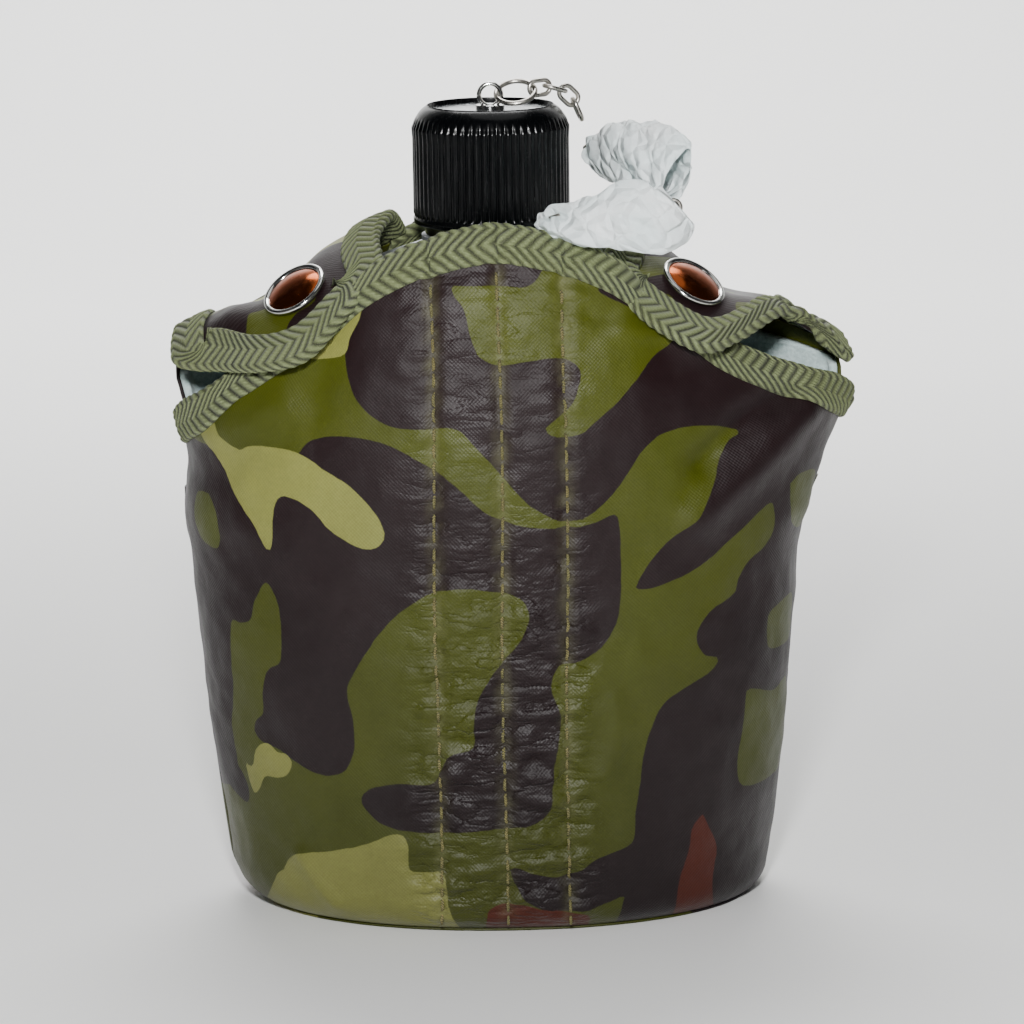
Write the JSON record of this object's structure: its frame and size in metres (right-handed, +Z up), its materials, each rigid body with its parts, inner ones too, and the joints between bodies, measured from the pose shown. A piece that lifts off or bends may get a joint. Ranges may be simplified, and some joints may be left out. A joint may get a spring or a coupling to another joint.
{
  "type": "belt canteen",
  "caption": "Kidney-shaped metal drinking bottle with a ribbed screw cap on a chain, in a lined cloth cover closed by two snapped shoulder flaps.",
  "frame": {"origin": "centre of the flat face it stands on", "axes": "+Z up through the cap, -Y is the front of the cover, +X is the viewer's right"},
  "size_m": [0.1601, 0.089, 0.1994],
  "materials": {
    "bottle_metal": "dull drawn aluminium",
    "black_cap": "gloss black moulded plastic",
    "bright_metal": "bright plated",
    "chain_steel": "plain wire",
    "gasket_rubber": "matt rubber",
    "camouflage_cloth": "printed woven nylon, woodland pattern",
    "felt": "wool felt",
    "olive_tape": "olive herringbone tape",
    "olive_webbing": "olive woven webbing",
    "packing_paper": "thin white crumpled paper"
  },
  "bodies": {
    "bottle_and_cover": {"bottle_cup": "bottle_metal", "bottle_shoulder": "bottle_metal", "neck_spout": "bottle_metal", "neck_collar": "chain_steel", "collar_ring": "chain_steel", "cover_front": "camouflage_cloth", "cover_back": "camouflage_cloth", "cover_bottom": "camouflage_cloth", "lining_front": "felt", "lining_back": "felt", "lining_bottom": "felt", "tape_front": "olive_tape", "tape_back": "olive_tape", "snap_tab_left": "camouflage_cloth", "snap_tab_right": "camouflage_cloth", "snap_stud_left": "bright_metal", "snap_stud_right": "bright_metal", "snap_post_left": "bright_metal", "snap_post_right": "bright_metal", "belt_loop_left": "olive_webbing", "belt_loop_right": "olive_webbing"},
    "cap_swivel": {"swivel_post": "chain_steel", "swivel_ring": "chain_steel", "chain_top_links": "chain_steel"},
    "cap": {"cap_shell": "black_cap", "cap_top_disc": "bright_metal", "cap_gasket": "gasket_rubber"},
    "chain_lower": {"chain_lower_links": "chain_steel", "wrap_lower": "packing_paper"},
    "chain_upper": {"chain_upper_links": "chain_steel", "wrap_upper": "packing_paper"},
    "right_flap": {"flap_right": "camouflage_cloth", "flap_tape_right": "olive_tape", "snap_cap_right": "bright_metal", "snap_socket_right": "bright_metal"},
    "left_flap": {"flap_left": "camouflage_cloth", "flap_tape_left": "olive_tape", "snap_cap_left": "bright_metal", "snap_socket_left": "bright_metal"}
  },
  "joints": [
    {"name": "cap_lift", "type": "slide", "parent": "bottle_and_cover", "child": "cap_swivel", "axis": [0, 0, 1], "range_m": [0, 0.03]},
    {"name": "cap_turn", "type": "hinge", "parent": "cap_swivel", "child": "cap", "pos_m": [0, 0, 0.18], "axis": [0, 0, 1], "range_deg": [0, 2400]},
    {"name": "chain_lower_swing", "type": "hinge", "parent": "bottle_and_cover", "child": "chain_lower", "pos_m": [0.00962, -0.01889, 0.16435], "axis": [0, -1, 0], "range_deg": [0, 28]},
    {"name": "chain_elbow", "type": "hinge", "parent": "chain_lower", "child": "chain_upper", "pos_m": [0.044, -0.036, 0.18015], "axis": [0, -1, 0], "range_deg": [-83.7, 0]},
    {"name": "right_flap_fold", "type": "hinge", "parent": "bottle_and_cover", "child": "right_flap", "pos_m": [0.04968, 0.01796, 0.1488], "axis": [-0.9054, 0.1022, 0.412], "range_deg": [0, 110]},
    {"name": "left_flap_fold", "type": "hinge", "parent": "bottle_and_cover", "child": "left_flap", "pos_m": [-0.04968, 0.01796, 0.1488], "axis": [-0.9054, -0.1022, -0.412], "range_deg": [0, 110]}
  ],
  "couplings": [
    {"joint": "cap_turn", "follows": "cap_lift", "rad_per_m": 1396.3},
    {"joint": "chain_lower_swing", "follows": "cap_lift", "rad_per_m": 16.29},
    {"joint": "chain_elbow", "follows": "cap_lift", "rad_per_m": -48.695}
  ]
}
